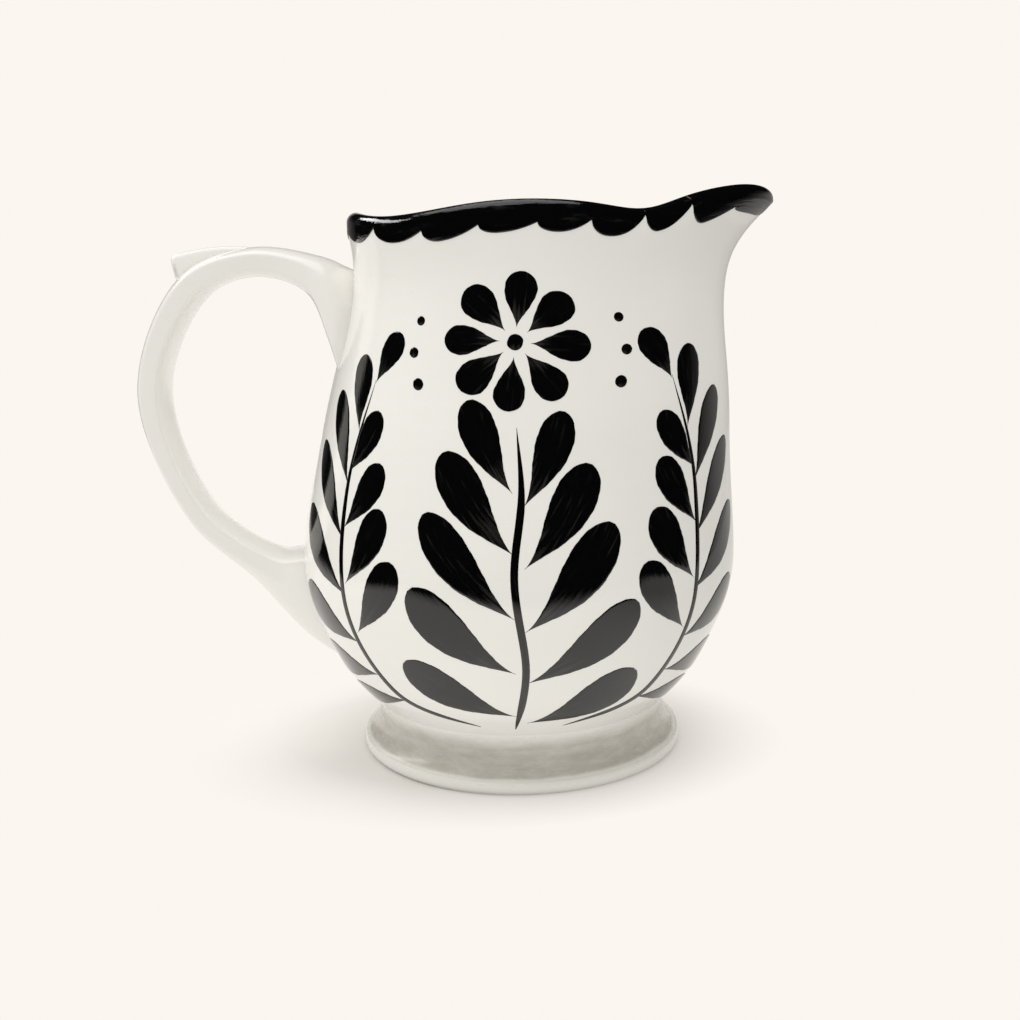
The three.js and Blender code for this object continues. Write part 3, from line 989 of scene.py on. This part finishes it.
# places across a stroke: close together along its rounded edges, with the film's height at each
def acrossStroke(half):
    widest, most = sprigs["curl"]
    curl = min(widest, half * most)
    film = sprigs["film"] * min(1.0, half / sprigs["fullFrom"])
    lowest, crown = sprigs["edgeLift"], sprigs["edgeLift"] + film * sprigs["crown"]
    rows = []
    for part in sprigs["edgeParts"]:
        rows.append((-half + curl * part, lowest + film * math.sqrt(1.0 - (1.0 - part) ** 2)))
    flat = (half - curl) * 0.35
    return rows + [(-flat, crown), (flat, crown)] + [(-reach, lift) for reach, lift in rows[::-1]]


def paintSide(name, middle, seed):
    hand = random.Random(seed)
    points, uvs, thin, faces = [], [], [], []
    scale = sprigs["strokeScale"]
    for spine, widthAt, width in sprigStrokes(hand):
        count = len(spine)
        base = len(points)
        shift = hand.uniform(0.0, 40.0)
        phases = [hand.uniform(0.0, 6.28) for ripple in sprigs["ripples"]]
        travelled = 0.0
        for i, place in enumerate(spine):
            t = clampTo(i / (count - 1), 0.004, 0.996)
            if i:
                travelled += (place - spine[i - 1]).length
            along = (spine[min(i + 1, count - 1)] - spine[max(i - 1, 0)]).normalized()
            across = Vector((along.y, -along.x))
            half = max(widthAt(t) * width / 2.0, 0.06)
            uneven = 0.0
            if half > sprigs["rippleFrom"]:
                for (depth, pace), phase in zip(sprigs["ripples"], phases):
                    uneven += depth * math.sin(travelled * pace + phase)
            rows = acrossStroke(half)
            for reach, lift in rows:
                sway = uneven * abs(reach) / half * sprigs["rippleShare"]
                spot = place + across * (reach + sway)
                points.append(onWall(middle, spot.x, spot.y, lift))
                uvs.append((shift + travelled / scale, reach / scale))
            for reach in (half, -half):
                spot = place + across * reach
                points.append(onWall(middle, spot.x, spot.y, -sprigs["sunk"]))
                uvs.append((shift + travelled / scale, reach / scale))
            thin.extend([1.0 - smoothStep(t, *sprigs["tail"])] * (len(rows) + 2))
        ring = len(rows) + 2
        faces += ringFaces(count, ring, base=base)
        faces.append(tuple(base + k for k in range(ring)))
        faces.append(tuple(base + (count - 1) * ring + k for k in range(ring - 1, -1, -1)))
    makePiece(name, points, faces, brushGlaze, (), uvs, thin, 35.0)


for side, middle, seed in zip(("front", "back"), sprigs["sideways"], sprigs["seeds"]):
    paintSide("sprig_brushwork_" + side, middle, seed)


# studio: pale table and background, soft light from above, two windows, dark room behind the camera
studio = {
    "cream": (0.965, 0.921, 0.871),
    "table": (0.765, 0.736, 0.703),  # as seen near the foot
    # the table glows with this colour to light the pitcher in place of bounced light
    "bounceGlow": (1.0, 0.985, 0.96),  # as it lights the pitcher
    # painted shade: the glow is darker past the spout
    "glowShadeRight": (0.6, 0.59, 0.575),  # darker past the spout
    "glowShadeEdge": (30.0, 110.0),  # from the axis
    # painted shade: the table as the glaze mirrors it is darker past the spout
    "shadedShine": (0.55, 0.535, 0.51),  # as the glaze mirrors it past the spout
    "shadedShineEdge": (80.0, 260.0),
    "grain": (0.8, 0.77, 0.74),
    "grainShare": 0.02,
    "fade": (52.0, 88.0),  # the shadow fades out between these distances
    "fadeMiddle": -17.0,  # from the axis
    "fadeShape": (0.8, 1.12, 1.0),  # longer to the sides than to the front
    "room": (0.006, 0.006, 0.006),
    "sky": 0.74,
    "skyTilt": (-0.05, -0.2, 0.05),  # more from the left, the front and above
    "skyColour": (1.0, 0.99, 0.965),
    # what the glaze mirrors of the background, by direction
    "backLean": 0.35,  # reaches further round on the right
    "backFrom": (0.45, 0.85),
    "backTop": (0.12, 0.3),
    "backRight": (0.05, 0.3, 0.4),  # from, to, share left
    "backLeft": (-0.1, -0.4, 0.2),
    # painted contact shadow: the glow darkens close under the foot
    "paintedContactShadow": (55.0, 63.0, 0.3),  # darker close under the foot: from, to, share left
    "edges": (-480.0, 480.0, -360.0, 3000.0),  # table: left, right, front, back
    "dim": 150.0,  # what the glaze mirrors of the table darkens over this much, left and front
    "aim": 100.0,  # height that the lamps point at
    # turned from, raised, distance, strength, spread in degrees
    "topLight": (200.0, 78.0, 1500.0, 1.05, 60.0),
    # turned from, raised, distance, width, height, power
    "leftWindow": (208.0, 36.0, 1500.0, 1400.0, 210.0, 4.8),
    "backWindow": (300.0, 30.0, 1200.0, 900.0, 700.0, 5.0),
}


def makeSky(scene):
    world = bpy.data.worlds.new("studio")
    scene.world = world
    world.use_nodes = True
    tree = world.node_tree
    background = tree.nodes["Background"]
    where = addNode(tree, "ShaderNodeTexCoord").outputs["Generated"]
    parts = partsOf(tree, where)
    camera, shiny = raysOf(tree)
    lean = combine(tree, "MULTIPLY", parts["X"], studio["backLean"])
    behind = stretch(tree, combine(tree, "ADD", parts["Y"], lean), *studio["backFrom"], 0.0, 1.0)
    low = stretch(tree, parts["Z"], *studio["backTop"], 1.0, 0.0)
    ends = []
    for name in ("backRight", "backLeft"):
        start, end, spared = studio[name]
        ends.append(stretch(tree, parts["X"], start, end, 1.0, spared))
    sides = combine(tree, "MULTIPLY", *ends)
    share = combine(tree, "MULTIPLY", combine(tree, "MULTIPLY", behind, low), sides)
    mirrored = blendColour(tree, share, studio["room"], studio["cream"])
    tilt = addNode(tree, "ShaderNodeVectorMath", {1: studio["skyTilt"]}, operation="DOT_PRODUCT")
    tree.links.new(where, tilt.inputs[0])
    strength = combine(tree, "ADD", tilt.outputs["Value"], studio["sky"])
    dome = blendColour(tree, strength, (0.0, 0.0, 0.0), studio["skyColour"])
    dome.node.clamp_factor = False
    around = blendColour(tree, shiny, dome, mirrored)
    seen = blendColour(tree, camera, around, studio["cream"])
    tree.links.new(seen, background.inputs["Color"])


def hangLamp(scene, name, kind, turned, raised, distance):
    light = bpy.data.lights.new(name, kind)
    lamp = bpy.data.objects.new(name, light)
    scene.collection.objects.link(lamp)
    lamp.visible_camera = False
    flat, turn = math.cos(math.radians(raised)), math.radians(turned)
    towards = Vector((flat * math.cos(turn), -flat * math.sin(turn), math.sin(math.radians(raised))))
    lamp.rotation_euler = towards.to_track_quat("Z", "Y").to_euler()
    lamp.location = Vector((axisX * mm, 0.0, studio["aim"] * mm)) + towards * distance * mm
    return light


def makeLamps(scene):
    turned, raised, distance, strength, spread = studio["topLight"]
    top = hangLamp(scene, "topLight", "SUN", turned, raised, distance)
    top.energy = strength
    top.angle = math.radians(spread)
    for name in ("leftWindow", "backWindow"):
        turned, raised, distance, width, height, power = studio[name]
        window = hangLamp(scene, name, "AREA", turned, raised, distance)
        window.shape = "RECTANGLE"
        window.size = width * mm
        window.size_y = height * mm
        window.energy = power
    bpy.data.objects["backWindow"].visible_glossy = False  # a soft fill, not mirrored in the glaze


# from 0 to 1 between two distances past the vessel's axis, towards the spout
def pastAxis(tree, across, start, end):
    return stretch(tree, across, (axisX + start) * mm, (axisX + end) * mm, 0.0, 1.0)


def makeTableFinish():
    finish, tree, shader = startFinish("pale_table")
    where = addNode(tree, "ShaderNodeTexCoord").outputs["Object"]
    parts = partsOf(tree, where)
    across, deep = parts["X"], parts["Y"]
    camera, shiny = raysOf(tree)
    seen = combine(tree, "MAXIMUM", camera, shiny)
    # the table's glow, which lights the pitcher in place of bounced light, with painted shade past the spout
    # and a painted contact shadow under the foot
    ring = addNode(tree, "ShaderNodeVectorMath", {1: (axisX * mm, 0.0, 0.0)}, operation="DISTANCE")
    tree.links.new(where, ring.inputs[0])
    under, clear, spared = studio["paintedContactShadow"]
    contactShadowMask = stretch(tree, ring.outputs["Value"], under * mm, clear * mm, 1.0 - spared, 0.0)
    past = pastAxis(tree, across, *studio["glowShadeEdge"])
    shadedGlow = blendColour(tree, past, studio["bounceGlow"], studio["glowShadeRight"])
    bounceGlow = blendColour(tree, contactShadowMask, shadedGlow, (0.0, 0.0, 0.0))
    # what the camera sees of it far off, and what the glaze mirrors, with painted shade past the spout
    shineShadeMask = combine(tree, "MULTIPLY", pastAxis(tree, across, *studio["shadedShineEdge"]), shiny)
    plain = blendColour(tree, shineShadeMask, studio["cream"], studio["shadedShine"])
    left, front, dim = studio["edges"][0], studio["edges"][2], studio["dim"]
    leftEdge = stretch(tree, across, left * mm, (left + dim) * mm, 1.0, 0.0)
    frontEdge = stretch(tree, deep, front * mm, (front + dim) * mm, 1.0, 0.0)
    outside = combine(tree, "MULTIPLY", combine(tree, "MAXIMUM", leftEdge, frontEdge), shiny)
    mirrored = blendColour(tree, outside, plain, studio["room"])
    glow = addNode(tree, "ShaderNodeEmission")
    tree.links.new(blendColour(tree, seen, bounceGlow, mirrored), glow.inputs["Color"])
    # the surface near the foot, which takes the shadow
    grain = stretch(tree, noiseOf(tree, where, 3.0), 0.3, 0.7, 0.0, studio["grainShare"])
    tree.links.new(blendColour(tree, grain, studio["table"], studio["grain"]), shader.inputs["Base Color"])
    shader.inputs["Roughness"].default_value = 1.0
    shader.inputs["Specular IOR Level"].default_value = 0.0
    middle = (-axisX - studio["fadeMiddle"]) * mm
    moved = addNode(tree, "ShaderNodeMapping", {"Location": (middle, 0.0, 0.0)})
    tree.links.new(where, moved.inputs["Vector"])
    away = addNode(tree, "ShaderNodeVectorMath", operation="LENGTH")
    tree.links.new(scaled(tree, moved.outputs["Vector"], studio["fadeShape"]), away.inputs[0])
    near, far = studio["fade"]
    fade = stretch(tree, away.outputs["Value"], near * mm, far * mm, 0.0, 1.0)
    unseen = combine(tree, "SUBTRACT", 1.0, seen)
    both = addNode(tree, "ShaderNodeMixShader")
    tree.links.new(combine(tree, "MAXIMUM", fade, unseen), both.inputs[0])
    tree.links.new(shader.outputs[0], both.inputs[1])
    tree.links.new(glow.outputs[0], both.inputs[2])
    tree.links.new(both.outputs[0], tree.nodes["Material Output"].inputs["Surface"])
    finish.cycles.emission_sampling = "NONE"
    return finish


def makeTable(scene):
    left, right, front, back = (edge * mm for edge in studio["edges"])
    corners = [(left, front, 0), (right, front, 0), (right, back, 0), (left, back, 0)]
    mesh = bpy.data.meshes.new("pale_table")
    mesh.from_pydata(corners, [], [(0, 1, 2, 3)])
    mesh.materials.append(makeTableFinish())
    floor = bpy.data.objects.new("pale_table", mesh)
    scene.collection.objects.link(floor)


def makeStudio():
    scene = bpy.context.scene
    scene.view_settings.view_transform = "Standard"
    makeSky(scene)
    makeLamps(scene)
    makeTable(scene)
    print("studio ready")


makeStudio()

bpy.context.view_layer.update()
